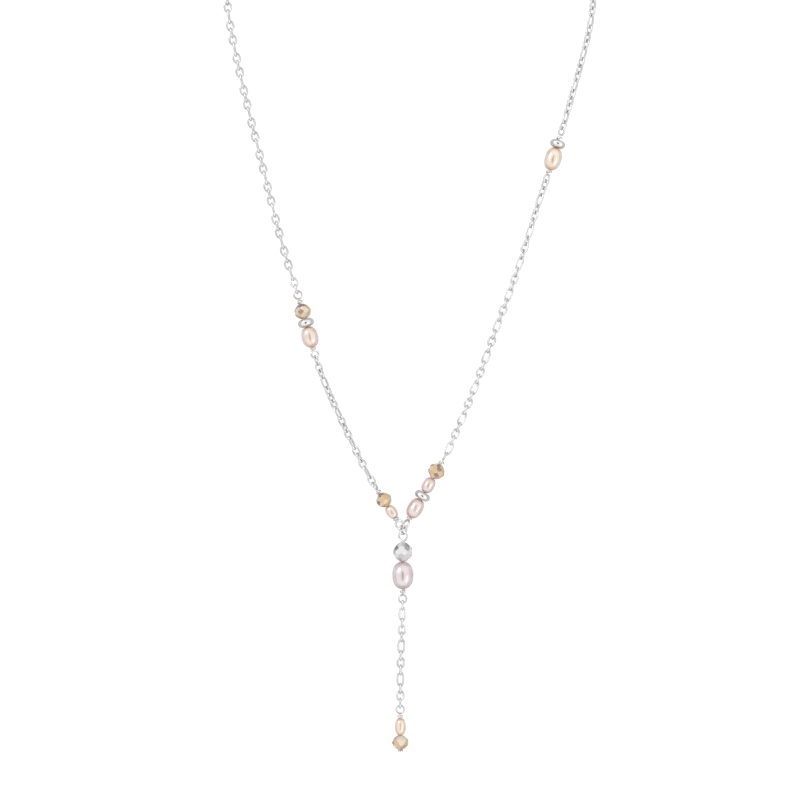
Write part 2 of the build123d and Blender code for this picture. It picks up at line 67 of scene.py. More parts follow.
# latitude in degrees of each row of a crystal's facets, and its stagger in facets
FACET_ROWS = ((0, 0.0), (26, 0.5), (-26, 0.5), (50, 0.0), (-50, 0.0), (66, 0.5), (-66, 0.5))
TABLE_GLOW = 0.55      # strength of the table's own light
DOME_LIGHT = 1.15      # strength of the dome
DOME_SLIT = (0.24, 0.5)   # half sizes of the dark slit between the overhead lights
SEAM_SHARPNESS = 24.0  # power that keeps the solder's swell near the seam
MOUTH_RIM = 0.2 * MM   # flat left round a crystal's drill mouth
FLAT_SHARE = math.cos(math.pi / 9)   # a crystal is this much narrower across its flats than its corners

NODES = frame["nodes"]
BODIES = frame["record"]["behaviour"]["bodies"]
SLOTS = {part["node"]: part["material_slot"] for part in frame["record"]["subparts"]}


def body_of(node):
    return next(body for body, members in BODIES.items() if node in members)


def nodes_of(*slots):
    return [node for node in sorted(NODES) if SLOTS[node] in slots]


def linear(code):
    """sRGB hex to linear RGB."""
    values = [int(code[i:i + 2], 16) / 255 for i in (0, 2, 4)]
    return tuple(v / 12.92 if v <= 0.04045 else ((v + 0.055) / 1.055) ** 2.4 for v in values)


# ---------------------------------------------------------------- sizes and colours
def colour(name, description, code):
    return FloatVectorProperty(name=name, description=description, default=linear(code),
                               subtype="COLOR", size=3, min=0.0, max=1.0)


def length(name, description, default):
    return FloatProperty(name=name, description=description, default=default,
                         subtype="DISTANCE", unit="LENGTH", min=0.0, precision=5)


class ChainSizes(bpy.types.PropertyGroup):
    """Sizes of the links that are drawn over the plain ones."""
    wire: length("Wire", "Thickness of the link wire", 0.55 * MM)
    seam_swell: FloatProperty(name="Seam swell", description="Extra wire thickness at the soldered seam",
                              default=0.1, subtype="FACTOR", min=0.0, max=0.5)
    squareness: FloatProperty(name="Squareness", description="Power that fills out an oval link",
                              default=0.86, min=0.5, max=1.0)
    path_steps: IntProperty(name="Path steps", description="Steps round a link", default=28, min=8)
    wire_sides: IntProperty(name="Wire sides", description="Sides of the link wire", default=8, min=3)


class PearlSizes(bpy.types.PropertyGroup):
    """How far the pearls leave a true oval."""
    sides: IntProperty(name="Sides", description="Steps round a pearl", default=72, min=12)
    rows: IntProperty(name="Rows", description="Steps along a pearl", default=48, min=8)
    unevenness: FloatProperty(name="Unevenness", description="Depth of the hollows as a share of the radius",
                              default=0.035, subtype="FACTOR", min=0.0, max=0.2)
    ring_depth: FloatProperty(name="Growth ring depth", description="Depth of the rings round the long axis",
                              default=0.006, subtype="FACTOR", min=0.0, max=0.05)


class BeadSizes(bpy.types.PropertyGroup):
    """Cut of the crystals and turning of the rondelles."""
    facets: IntProperty(name="Facets per row", description="Facets in one row of a crystal", default=9, min=5)
    rondelle_sides: IntProperty(name="Rondelle sides", description="Steps round a rondelle",
                                default=64, min=12)


class NecklaceColours(bpy.types.PropertyGroup):
    """Colours of the metals, pearls, crystals and the stage."""
    silver: colour("Silver", "Silver plate", "E3E2E1")
    # the same colour is also the middle tone of the clear crystal's painted facet shade
    tarnish_and_facet_shade: colour("Silver shade", "Slight tarnish of the plate", "D0CFCF")
    spring: colour("Spring", "Spring steel", "8E8E92")
    # each pearl's deep colour is both its own deeper patches and painted shade at its ends
    peach: colour("Peach", "Body colour of the peach pearls", "D8BBAB")
    peach_light: colour("Peach light", "Paler patches of the peach pearls", "E4D4CA")
    peach_deep: colour("Peach deep", "Ends and deeper patches of the peach pearls", "CA8C6E")
    rose: colour("Rose", "Body colour of the rose pearls", "D0B5AE")
    rose_light: colour("Rose light", "Paler patches of the rose pearls", "DECCC8")
    rose_deep: colour("Rose deep", "Ends and deeper patches of the rose pearls", "BE867A")
    honey: colour("Honey", "Body colour of the honey pearl", "DEC5AB")
    honey_light: colour("Honey light", "Paler patches of the honey pearl", "E8D8C6")
    honey_deep: colour("Honey deep", "Ends and deeper patches of the honey pearl", "CE9A64")
    lavender: colour("Lavender", "Body colour of the large pearl", "CBB8BA")
    lavender_light: colour("Lavender light", "Paler patches of the large pearl", "DACFD3")
    lavender_deep: colour("Lavender deep", "Ends and deeper patches of the large pearl", "B2868E")
    # champagne and rosewood are painted reflection and painted shade on the facets; amber is the crystal's own
    # golden colour
    champagne: colour("Champagne", "Palest facets of the crystals", "FFF4E0")
    amber: colour("Amber", "Golden facets of the crystals", "F0C688")
    rosewood: colour("Rosewood", "Darkest facets of the crystals", "98604C")
    clear: colour("Clear", "Clear crystal", "FFFFFF")
    # painted shade: the dark facets of the clear crystal
    clear_facet_shade: colour("Clear facet shade", "Shaded facets of the clear crystal", "303338")
    floor: colour("Floor", "Face of the table top", "D2D2D3")
    opal: colour("Opal", "Glow of the table top", "FFFFFF")


# ---------------------------------------------------------------- reading the frame
def triangles(node):
    """Corner points of every triangle of a packed node."""
    mesh = NODES[node].data
    mesh.calc_loop_triangles()
    points = np.empty(len(mesh.vertices) * 3)
    mesh.vertices.foreach_get("co", points)
    corners = np.empty(len(mesh.loop_triangles) * 3, dtype=np.int64)
    mesh.loop_triangles.foreach_get("vertices", corners)
    return points.reshape(-1, 3), corners.reshape(-1, 3)


def separate_solids(node):
    """Triangle corners of each solid in a node, found by the points that its triangles share."""
    points, corners = triangles(node)
    keys = np.round(points / WELD).astype(np.int64)
    _, welded = np.unique(keys, axis=0, return_inverse=True)
    corners_welded = welded.reshape(-1)[corners]
    labels = np.arange(corners_welded.max() + 1)
    while True:
        lowest = labels[corners_welded].min(axis=1)
        spread = labels.copy()
        np.minimum.at(spread, corners_welded.reshape(-1), np.repeat(lowest, 3))
        spread = spread[spread]
        if np.array_equal(spread, labels):
            break
        labels = spread
    owners = labels[corners_welded[:, 0]]
    return [points[corners[owners == owner]] for owner in np.unique(owners)]


def link_place(solid):
    """Middle, turn and length of one link: X along it and Z square to its plane."""
    middles = solid.mean(axis=1)
    areas = np.linalg.norm(np.cross(solid[:, 1] - solid[:, 0], solid[:, 2] - solid[:, 0]), axis=1)
    middle = np.average(middles, axis=0, weights=areas)
    offsets = middles - middle
    spread = (offsets * areas[:, None]).T @ offsets
    _, axes = np.linalg.eigh(spread)
    along, across = Vector(axes[:, 2]), Vector(axes[:, 1])
    turn = Matrix((along, across, along.cross(across))).transposed().to_quaternion()
    reach = (solid.reshape(-1, 3) - middle) @ axes
    size = reach.max(axis=0) - reach.min(axis=0)
    return Vector(middle), turn, size[2], size[1]


def bead_place(node):
    """Middle and axis of a bead, and its half length, radius and bore radius."""
    joint = next(j for j in frame["joints"] if j["child"] == body_of(node))
    middle, axis = Vector(joint["pos_m"]), Vector(joint["axis"]).normalized()
    points, _ = triangles(node)
    offsets = points - np.array(middle)
    along = offsets @ np.array(axis)
    radial = np.linalg.norm(offsets - along[:, None] * np.array(axis), axis=1)
    return middle, axis, np.abs(along).max(), radial.max(), radial.min()


def axis_matrix(middle, axis):
    """Places a piece that is drawn along X."""
    side = Vector((0, 0, 1)).cross(axis).normalized()
    turn = Matrix((axis, side, axis.cross(side))).transposed().to_4x4()
    return Matrix.Translation(middle) @ turn


# ---------------------------------------------------------------- meshes
def add_object(name, mesh, material):
    piece = bpy.data.objects.new(name, mesh)
    bpy.context.scene.collection.objects.link(piece)
    piece.data.materials.clear()
    piece.data.materials.append(material)
    return piece


def stand_for(piece, node):
    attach(piece, body_of(node))
    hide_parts(node)


def turned_mesh(name, profile, sides, shape=None):
    """Closed profile of (x, radius) points turned about X; shape(x, angle) scales the radius."""
    angles = [2 * math.pi * i / sides for i in range(sides)]
    vertices = []
    for x, radius in profile:
        for angle in angles:
            r = radius * (shape(x, angle) if shape else 1.0)
            vertices.append((x, r * math.cos(angle), r * math.sin(angle)))
    count = len(profile)
    faces = []
    for row in range(count):
        below, above = row * sides, (row + 1) % count * sides
        for i in range(sides):
            j = (i + 1) % sides
            faces.append((below + i, above + i, above + j, below + j))
    mesh = bpy.data.meshes.new(name)
    mesh.from_pydata(vertices, [], faces)
    outward(mesh)
    return mesh


def outward(mesh):
    shape = bmesh.new()
    shape.from_mesh(mesh)
    bmesh.ops.recalc_face_normals(shape, faces=shape.faces)
    shape.to_mesh(mesh)
    shape.free()


# ---------------------------------------------------------------- materials
def add_node(tree, kind, settings=None, links=None, at=(0, 0)):
    """Adds a node, sets its values or sockets, and links its inputs."""
    node = tree.nodes.new(kind)
    node.location = at
    for key, value in (settings or {}).items():
        if isinstance(key, str) and hasattr(node, key):
            setattr(node, key, value)
        else:
            node.inputs[key].default_value = value
    for key, source in (links or {}).items():
        tree.links.new(source, node.inputs[key])
    return node


def new_material(name):
    material = bpy.data.materials.new(name)
    material.use_nodes = True
    tree = material.node_tree
    tree.nodes.clear()
    return material, tree


def finish_material(tree, shader):
    output = tree.nodes.new("ShaderNodeOutputMaterial")
    output.location = (300, 0)
    tree.links.new(shader.outputs["BSDF"], output.inputs["Surface"])


def rgba(value):
    return (value[0], value[1], value[2], 1.0)


def set_ramp(ramp, stops):
    """Colour stops as (place, colour)."""
    elements = ramp.color_ramp.elements
    while len(elements) < len(stops):
        elements.new(0.5)
    for element, (place, value) in zip(elements, stops):
        element.position = place
        element.color = rgba(value)


def silver_plate():
    """Silver plate, drawn and tumbled: mirror bright with hairlines and a faint grey bloom."""
    hues = bpy.context.scene.necklace_colours
    material, tree = new_material("silver_plate_tumbled")
    place = add_node(tree, "ShaderNodeTexCoord", at=(-1000, 0)).outputs["Object"]
    # bloom patches about 1.5 mm across, hairlines 0.08 mm apart
    bloom = add_node(tree, "ShaderNodeTexNoise", {"Scale": 1 / (1.5 * MM), "Detail": 3.0},
                     {"Vector": place}, (-800, 200))
    tint = add_node(tree, "ShaderNodeValToRGB", links={"Fac": bloom.outputs["Fac"]}, at=(-560, 200))
    set_ramp(tint, [(0.35, hues.tarnish_and_facet_shade), (0.55, hues.silver)])
    scratch = add_node(tree, "ShaderNodeTexNoise", {"Scale": 1 / (0.08 * MM), "Detail": 2.0},
                       {"Vector": place}, (-800, -150))
    rough = add_node(tree, "ShaderNodeMapRange", {"To Min": 0.06, "To Max": 0.2},
                     {"Value": bloom.outputs["Fac"]}, (-560, -60))
    bump = add_node(tree, "ShaderNodeBump", {"Strength": 0.12, "Distance": 0.004 * MM},
                    {"Height": scratch.outputs["Fac"]}, (-300, -250))
    shader = add_node(tree, "ShaderNodeBsdfPrincipled", {"Metallic": 1.0},
                      {"Base Color": tint.outputs["Color"], "Roughness": rough.outputs["Result"],
                       "Normal": bump.outputs["Normal"]})
    finish_material(tree, shader)
    return material


def mirror_silver():
    """Silver plate over turned brass: a mirror with faint wear marks."""
    hues = bpy.context.scene.necklace_colours
    material, tree = new_material("silver_plate_mirror_turned")
    place = add_node(tree, "ShaderNodeTexCoord", at=(-1000, 0)).outputs["Object"]
    # wear marks about 0.25 mm across
    wear = add_node(tree, "ShaderNodeTexNoise", {"Scale": 1 / (0.25 * MM), "Detail": 4.0},
                    {"Vector": place}, (-800, 0))
    tint = add_node(tree, "ShaderNodeValToRGB", links={"Fac": wear.outputs["Fac"]}, at=(-560, 200))
    set_ramp(tint, [(0.3, hues.tarnish_and_facet_shade), (0.5, hues.silver)])
    rough = add_node(tree, "ShaderNodeMapRange", {"To Min": 0.015, "To Max": 0.07},
                     {"Value": wear.outputs["Fac"]}, (-560, -60))
    bump = add_node(tree, "ShaderNodeBump", {"Strength": 0.06, "Distance": 0.004 * MM},
                    {"Height": wear.outputs["Fac"]}, (-300, -250))
    shader = add_node(tree, "ShaderNodeBsdfPrincipled", {"Metallic": 1.0},
                      {"Base Color": tint.outputs["Color"], "Roughness": rough.outputs["Result"],
                       "Normal": bump.outputs["Normal"]})
    finish_material(tree, shader)
    return material


def spring_wire():
    """Drawn spring steel: darker, with a satin draw."""
    hues = bpy.context.scene.necklace_colours
    material, tree = new_material("spring_steel_drawn")
    place = add_node(tree, "ShaderNodeTexCoord", at=(-800, 0)).outputs["Object"]
    # draw marks 0.05 mm apart
    draw = add_node(tree, "ShaderNodeTexNoise", {"Scale": 1 / (0.05 * MM)}, {"Vector": place}, (-600, 0))
    rough = add_node(tree, "ShaderNodeMapRange", {"To Min": 0.22, "To Max": 0.4},
                     {"Value": draw.outputs["Fac"]}, (-350, 0))
    shader = add_node(tree, "ShaderNodeBsdfPrincipled", {"Base Color": rgba(hues.spring), "Metallic": 1.0},
                      {"Roughness": rough.outputs["Result"]})
    finish_material(tree, shader)
    return material


def nacre(name, body, light, deep):
    """Freshwater pearl nacre, grown and polished: soft depth of colour under a strong clear lustre, with painted
    shade that deepens the colour towards the ends.
    """
    material, tree = new_material(name)
    place = add_node(tree, "ShaderNodeTexCoord", at=(-1200, 0)).outputs["Object"]
    # clouds about 2 mm across, skin pits about 0.2 mm across
    cloud = add_node(tree, "ShaderNodeTexNoise", {"Scale": 1 / (2.0 * MM), "Detail": 2.0, "Roughness": 0.45},
                     {"Vector": place}, (-1000, 200))
    skin = add_node(tree, "ShaderNodeTexNoise", {"Scale": 1 / (0.2 * MM), "Detail": 3.0},
                    {"Vector": place}, (-1000, -150))
    tint = add_node(tree, "ShaderNodeValToRGB", links={"Fac": cloud.outputs["Fac"]}, at=(-720, 200))
    set_ramp(tint, [(0.15, deep), (0.42, body), (0.75, light)])
    # painted shade: towards each end the colour is mixed into the deep colour, standing in for the darker rim that
    # the light leaves there
    ends = add_node(tree, "ShaderNodeAttribute", {"attribute_name": "ends"}, at=(-720, 420)).outputs["Fac"]
    end_shaded_tint = add_node(tree, "ShaderNodeMix", {"data_type": "RGBA", 7: rgba(deep)},
                    {0: ends, 6: tint.outputs["Color"]}, (-420, 200))
    rough = add_node(tree, "ShaderNodeMapRange", {"To Min": 0.2, "To Max": 0.3},
                     {"Value": skin.outputs["Fac"]}, (-720, -60))
    bump = add_node(tree, "ShaderNodeBump", {"Strength": 0.06, "Distance": 0.01 * MM},
                    {"Height": skin.outputs["Fac"]}, (-420, -260))
    # nacre's stacked layers throw back far more light than one film, so both IORs are above its 1.56
    shader = add_node(tree, "ShaderNodeBsdfPrincipled",
                      {"IOR": 1.8, "Subsurface Weight": 0.15, "Subsurface Scale": 0.5 * MM,
                       "Subsurface Radius": (1.0, 0.6, 0.5), "Coat Weight": 1.0, "Coat Roughness": 0.08,
                       "Coat IOR": 2.9},
                      {"Base Color": end_shaded_tint.outputs[2], "Roughness": rough.outputs["Result"],
                       "Normal": bump.outputs["Normal"]})
    finish_material(tree, shader)
    return material


def cut_crystal(name, stops, transmission):
    """Machine-cut glass with a fired lustre: flat bright facets, each painted a random tone from pale to dark, as
    painted reflection and painted shade.
    """
    material, tree = new_material(name)
    # painted reflection and shade: a random value on each facet picks its tone from the stops, pale to dark
    facet = add_node(tree, "ShaderNodeAttribute", {"attribute_name": "facet"}, at=(-900, 100)).outputs["Fac"]
    place = add_node(tree, "ShaderNodeTexCoord", at=(-900, -200)).outputs["Object"]
    # polish haze about 0.4 mm across
    haze = add_node(tree, "ShaderNodeTexNoise", {"Scale": 1 / (0.4 * MM), "Detail": 2.0},
                    {"Vector": place}, (-700, -200))
    tint = add_node(tree, "ShaderNodeValToRGB", links={"Fac": facet}, at=(-600, 100))
    set_ramp(tint, stops)
    rough = add_node(tree, "ShaderNodeMapRange", {"To Min": 0.01, "To Max": 0.06},
                     {"Value": haze.outputs["Fac"]}, (-450, -200))
    shader = add_node(tree, "ShaderNodeBsdfPrincipled",
                      {"IOR": 1.6, "Transmission Weight": transmission, "Coat Weight": 1.0, "Coat IOR": 2.0,
                       "Coat Roughness": 0.01},
                      {"Base Color": tint.outputs["Color"], "Roughness": rough.outputs["Result"]})
    finish_material(tree, shader)
    return material


def table_top():
    """Opal acrylic, sanded matt: it looks lit from below, but lights the pieces only by what it bounces."""
    hues = bpy.context.scene.necklace_colours
    material, tree = new_material("acrylic_opal_sanded")
    place = add_node(tree, "ShaderNodeTexCoord", at=(-800, 0)).outputs["Object"]
    # tooth 0.3 mm across
    tooth = add_node(tree, "ShaderNodeTexNoise", {"Scale": 1 / (0.3 * MM)}, {"Vector": place}, (-600, 0))
    rough = add_node(tree, "ShaderNodeMapRange", {"To Min": 0.75, "To Max": 0.85},
                     {"Value": tooth.outputs["Fac"]}, (-350, 0))
    seen = add_node(tree, "ShaderNodeLightPath", at=(-600, -300)).outputs["Is Camera Ray"]
    glow = add_node(tree, "ShaderNodeMath", {"operation": "MULTIPLY", 1: TABLE_GLOW}, {0: seen}, (-350, -300))
    shader = add_node(tree, "ShaderNodeBsdfPrincipled",
                      {"Base Color": rgba(hues.floor), "Specular IOR Level": 0.1,
                       "Emission Color": rgba(hues.opal)},
                      {"Roughness": rough.outputs["Result"], "Emission Strength": glow.outputs["Value"]})
    finish_material(tree, shader)
    return material


def material(maker, *values):
    """Makes a material once."""
    name = values[0] if values else maker.__name__
    cache = material.__dict__.setdefault("made", {})
    if name not in cache:
        cache[name] = maker(*values)
    return cache[name]


# ---------------------------------------------------------------- links
def socket_id(tree, name):
    return next(item.identifier for item in tree.interface.items_tree
                if item.item_type == "SOCKET" and item.in_out == "INPUT" and item.name == name)


def link_tree():
    """Geometry Nodes: oval wire links, small and long, set on points with their turns."""
    tree = bpy.data.node_groups.new("wire_links", "GeometryNodeTree")
    tree.interface.new_socket("Geometry", in_out="OUTPUT", socket_type="NodeSocketGeometry")
    tree.interface.new_socket("Geometry", in_out="INPUT", socket_type="NodeSocketGeometry")
    for name in ("Small Length", "Small Width", "Long Length", "Long Width", "Wire", "Seam Swell",
                 "Squareness"):
        tree.interface.new_socket(name, in_out="INPUT", socket_type="NodeSocketFloat")
    for name in ("Path Steps", "Wire Sides"):
        tree.interface.new_socket(name, in_out="INPUT", socket_type="NodeSocketInt")
    tree.interface.new_socket("Material", in_out="INPUT", socket_type="NodeSocketMaterial")
    group = add_node(tree, "NodeGroupInput", at=(-1600, 0))
    inputs = group.outputs

    def one_link(long_side, wide_side, level):
        circle = add_node(tree, "GeometryNodeCurvePrimitiveCircle", {"Radius": 1.0},
                          {"Resolution": inputs["Path Steps"]}, (-1300, level))
        position = add_node(tree, "GeometryNodeInputPosition", at=(-1300, level - 200))
        parts = add_node(tree, "ShaderNodeSeparateXYZ", links={"Vector": position.outputs[0]},
                         at=(-1100, level - 200))
        filled = []
        for axis, size in (("X", long_side), ("Y", wide_side)):
            value = parts.outputs[axis]
            reach = add_node(tree, "ShaderNodeMath", {"operation": "ABSOLUTE"}, {0: value})
            grown = add_node(tree, "ShaderNodeMath", {"operation": "POWER"},
                             {0: reach.outputs["Value"], 1: inputs["Squareness"]})
            side = add_node(tree, "ShaderNodeMath", {"operation": "SIGN"}, {0: value})
            signed = add_node(tree, "ShaderNodeMath", {"operation": "MULTIPLY"},
                              {0: grown.outputs["Value"], 1: side.outputs["Value"]})
            room = add_node(tree, "ShaderNodeMath", {"operation": "SUBTRACT"}, {0: size, 1: inputs["Wire"]})
            half = add_node(tree, "ShaderNodeMath", {"operation": "MULTIPLY", 1: 0.5},
                            {0: room.outputs["Value"]})
            placed = add_node(tree, "ShaderNodeMath", {"operation": "MULTIPLY"},
                              {0: signed.outputs["Value"], 1: half.outputs["Value"]})
            filled.append(placed.outputs["Value"])
        shaped = add_node(tree, "ShaderNodeCombineXYZ", links={"X": filled[0], "Y": filled[1]},
                          at=(-600, level))
        # the seam lies at the middle of one long side, where the unit circle's Y is -1
        below = add_node(tree, "ShaderNodeMath", {"operation": "MULTIPLY", 1: -1.0}, {0: parts.outputs["Y"]})
        shown = add_node(tree, "ShaderNodeMath", {"operation": "MAXIMUM", 1: 0.0},
                         {0: below.outputs["Value"]})
        near_seam = add_node(tree, "ShaderNodeMath", {"operation": "POWER", 1: SEAM_SHARPNESS},
                             {0: shown.outputs["Value"]})
        swell = add_node(tree, "ShaderNodeMath", {"operation": "MULTIPLY"},
                         {0: near_seam.outputs["Value"], 1: inputs["Seam Swell"]})
        thick = add_node(tree, "ShaderNodeMath", {"operation": "ADD", 0: 1.0}, {1: swell.outputs["Value"]})
        thickness = add_node(tree, "GeometryNodeSetCurveRadius",
                             links={"Curve": circle.outputs["Curve"], "Radius": thick.outputs["Value"]},
                             at=(-600, level + 200))
        path = add_node(tree, "GeometryNodeSetPosition",
                        links={"Geometry": thickness.outputs["Curve"], "Position": shaped.outputs["Vector"]},
                        at=(-400, level))
        section_radius = add_node(tree, "ShaderNodeMath", {"operation": "MULTIPLY", 1: 0.5},
                                  {0: inputs["Wire"]})
        section = add_node(tree, "GeometryNodeCurvePrimitiveCircle",
                           links={"Resolution": inputs["Wire Sides"],
                                  "Radius": section_radius.outputs["Value"]}, at=(-400, level - 200))
        wire = add_node(tree, "GeometryNodeCurveToMesh",
                        links={"Curve": path.outputs["Geometry"], "Profile Curve": section.outputs["Curve"]},
                        at=(-200, level))
        return wire.outputs["Mesh"]

    turn = add_node(tree, "GeometryNodeInputNamedAttribute", {"data_type": "QUATERNION", "Name": "turn"},
                    at=(-200, -500))
    is_long = add_node(tree, "GeometryNodeInputNamedAttribute", {"data_type": "BOOLEAN", "Name": "long"},
                       at=(-200, -700))
    is_small = add_node(tree, "FunctionNodeBooleanMath", {"operation": "NOT"},
                        {0: is_long.outputs["Attribute"]}, (0, -700))
    both = add_node(tree, "GeometryNodeJoinGeometry", at=(400, 0))
    choices = (("Long Length", "Long Width", is_long.outputs["Attribute"], 400),
               ("Small Length", "Small Width", is_small.outputs["Boolean"], -200))
    for long_side, wide_side, chosen, level in choices:
        placed = add_node(tree, "GeometryNodeInstanceOnPoints",
                          links={"Points": inputs["Geometry"], "Selection": chosen,
                                 "Instance": one_link(inputs[long_side], inputs[wide_side], level),
                                 "Rotation": turn.outputs["Attribute"]}, at=(200, level))
        tree.links.new(placed.outputs["Instances"], both.inputs["Geometry"])
    real = add_node(tree, "GeometryNodeRealizeInstances", links={"Geometry": both.outputs["Geometry"]},
                    at=(600, 0))
    smooth = add_node(tree, "GeometryNodeSetShadeSmooth", links={"Geometry": real.outputs["Geometry"]},
                      at=(800, 0))
    finish = add_node(tree, "GeometryNodeSetMaterial",
                      links={"Geometry": smooth.outputs["Geometry"], "Material": inputs["Material"]},
                      at=(1000, 0))
    add_node(tree, "NodeGroupOutput", links={"Geometry": finish.outputs["Geometry"]}, at=(1200, 0))
    return tree


def points_mesh(name, places):
    """Points with the turn and kind of each link."""
    mesh = bpy.data.meshes.new(name)
    mesh.from_pydata([middle for middle, _, _, _ in places], [], [])
    mesh.attributes.new("turn", "QUATERNION", "POINT")
    mesh.attributes.new("long", "BOOLEAN", "POINT")
    for i, (_, turn, size, _) in enumerate(places):
        mesh.attributes["turn"].data[i].value = tuple(turn)
        mesh.attributes["long"].data[i].value = bool(size > LONG_LINK)
    return mesh


def grown_mesh(source, tree, values):
    """Runs a node tree on a mesh and returns the result as a plain mesh."""
    holder = bpy.data.objects.new("holder", source)
    bpy.context.scene.collection.objects.link(holder)
    modifier = holder.modifiers.new("nodes", "NODES")
    modifier.node_group = tree
    for name, value in values.items():
        modifier[socket_id(tree, name)] = value
    bpy.context.view_layer.update()
    grown = bpy.data.meshes.new_from_object(holder.evaluated_get(bpy.context.evaluated_depsgraph_get()))
    holder.modifiers.remove(modifier)
    bpy.data.objects.remove(holder)
    bpy.data.meshes.remove(source)
    return grown


class NECKLACE_OT_links(bpy.types.Operator):
    """Draw every link of every chain, one mesh for each moving segment"""
    bl_idname = "necklace.links"
    bl_label = "Chain Links"

    def execute(self, context):
        sizes = context.scene.necklace_chain
        chains = {node: [link_place(solid) for solid in separate_solids(node)]
                  for node in sorted(NODES) if "_chain_" in node}
        places = [place for rows in chains.values() for place in rows]
        small = [place for place in places if place[2] <= LONG_LINK]
        long = [place for place in places if place[2] > LONG_LINK]
        tree = link_tree()
        values = {
            "Small Length": max(place[2] for place in small), "Small Width": max(place[3] for place in small),
            "Long Length": max(place[2] for place in long), "Long Width": max(place[3] for place in long),
            "Wire": sizes.wire, "Seam Swell": sizes.seam_swell, "Squareness": sizes.squareness,
            "Path Steps": sizes.path_steps, "Wire Sides": sizes.wire_sides,
            "Material": material(silver_plate),
        }
        for node, rows in chains.items():
            mesh = grown_mesh(points_mesh(node + "_points", rows), tree, values)
            piece = add_object(node + "_links", mesh, material(silver_plate))
            stand_for(piece, node)
        return {"FINISHED"}


# ---------------------------------------------------------------- pins and rings
class NECKLACE_OT_wires(bpy.types.Operator):
    """Plate the wrapped pins and the rings"""
    bl_idname = "necklace.wires"
    bl_label = "Pins and Rings"

    def execute(self, context):
        for node in nodes_of("silver_wire"):
            if "_chain_" not in node:
                paint(node, material(silver_plate))
        return {"FINISHED"}


def paint(node, finish):
    mesh = NODES[node].data
    mesh.materials.clear()
    mesh.materials.append(finish)


class NECKLACE_OT_clasp(bpy.types.Operator):
    """Plate the clasp and its end ring, and give the lever's spring its steel"""
    bl_idname = "necklace.clasp"
    bl_label = "Clasp"

    def execute(self, context):
        for node in nodes_of("silver_findings"):
            paint(node, material(silver_plate))
        for node in nodes_of("spring_steel"):
            paint(node, material(spring_wire))
        return {"FINISHED"}


# ---------------------------------------------------------------- pearls
def pearl_shape(half, sizes, seed):
    """Unevenness of a pearl: broad hollows and faint growth rings, all inside the true oval."""
    draw = random.Random(seed)
    waves = []
    for _ in range(5):
        turns = draw.randint(1, 3)
        reach = draw.uniform(0.4, 1.6)
        start = draw.uniform(0, 2 * math.pi)
        waves.append((turns, reach, start, draw.uniform(0.3, 1.0)))
    total = sum(wave[3] for wave in waves)

    def scale(x, angle):
        along = x / half
        hollow = sum(weight * math.cos(turns * angle + reach * along * math.pi + start)
                     for turns, reach, start, weight in waves) / total
        ring = math.cos(along * 14 * math.pi)
        return 1 - sizes.unevenness * (1 - hollow) / 2 - sizes.ring_depth * (1 - ring) / 2 * abs(along)

    return scale


def oval_profile(half, radius, bore, rows, lip):
    """Blunt oval outline with rounded drill mouths, then back through the bore."""
    start = math.asin(((bore + lip) / radius) ** (1 / BLUNTNESS))
    profile = []
    for i in range(rows + 1):
        angle = start + (math.pi - 2 * start) * i / rows
        across = math.sin(angle) ** BLUNTNESS
        along = math.copysign(abs(math.cos(angle) / math.cos(start)) ** BLUNTNESS, -math.cos(angle))
        profile.append((half * along, radius * across))
    steps = 4
    for i in range(steps + 1):
        turn = math.pi / 2 * i / steps
        profile.append((half - lip * (1 - math.cos(turn)) * 0.9, bore + lip * (1 - math.sin(turn))))
    for i in range(steps + 1):
        turn = math.pi / 2 * (1 - i / steps)
        profile.append((-half + lip * (1 - math.cos(turn)) * 0.9, bore + lip * (1 - math.sin(turn))))
    return profile[1:-1]


class NECKLACE_OT_pearls(bpy.types.Operator):
    """Draw the freshwater pearls, each with its own unevenness"""
    bl_idname = "necklace.pearls"
    bl_label = "Pearls"

    def execute(self, context):
        sizes = context.scene.necklace_pearls
        hues = context.scene.necklace_colours
        for seed, node in enumerate(nodes_of("peach_pearl", "lavender_pearl")):
            middle, axis, half, radius, bore = bead_place(node)
            profile = oval_profile(half, radius, bore, sizes.rows, 0.12 * MM)
            mesh = turned_mesh(node + "_nacre", profile, sizes.sides, pearl_shape(half, sizes, seed))
            # painted shade: share of the deep colour at each point, rising from 0.6 of the half length to the ends
            ends = mesh.attributes.new("ends", "FLOAT", "POINT")
            for value, vertex in zip(ends.data, mesh.vertices):
                value.value = max(0.0, abs(vertex.co.x) / half - 0.6) / 0.4
            mesh.transform(axis_matrix(middle, axis))
            mesh.shade_smooth()
            tone = PEARL_TONES.get(node, "peach")
            finish = material(nacre, "nacre_" + tone, getattr(hues, tone), getattr(hues, tone + "_light"),
                              getattr(hues, tone + "_deep"))
            stand_for(add_object(node + "_nacre", mesh, finish), node)
        return {"FINISHED"}


# ---------------------------------------------------------------- rondelles
def rondelle_profile(half, radius, bore):
    """Puffed rim, a small step round the drill mouth, and the bore."""
    rim = half
    profile = []
    steps = 14
    for i in range(steps + 1):
        angle = math.pi * i / steps
        profile.append((-rim * math.cos(angle) * 0.96, radius - rim + rim * math.sin(angle)))
    collar = bore * 1.9
    outer_half = half * 0.96
    profile.append((outer_half, collar + (radius - rim - collar) * 0.3))
    profile.append((outer_half, collar))
    profile.append((half, collar * 0.94))
    profile.append((half, bore))
    profile.append((-half, bore))
    profile.append((-half, collar * 0.94))
    profile.append((-outer_half, collar))
    profile.append((-outer_half, collar + (radius - rim - collar) * 0.3))
    return profile


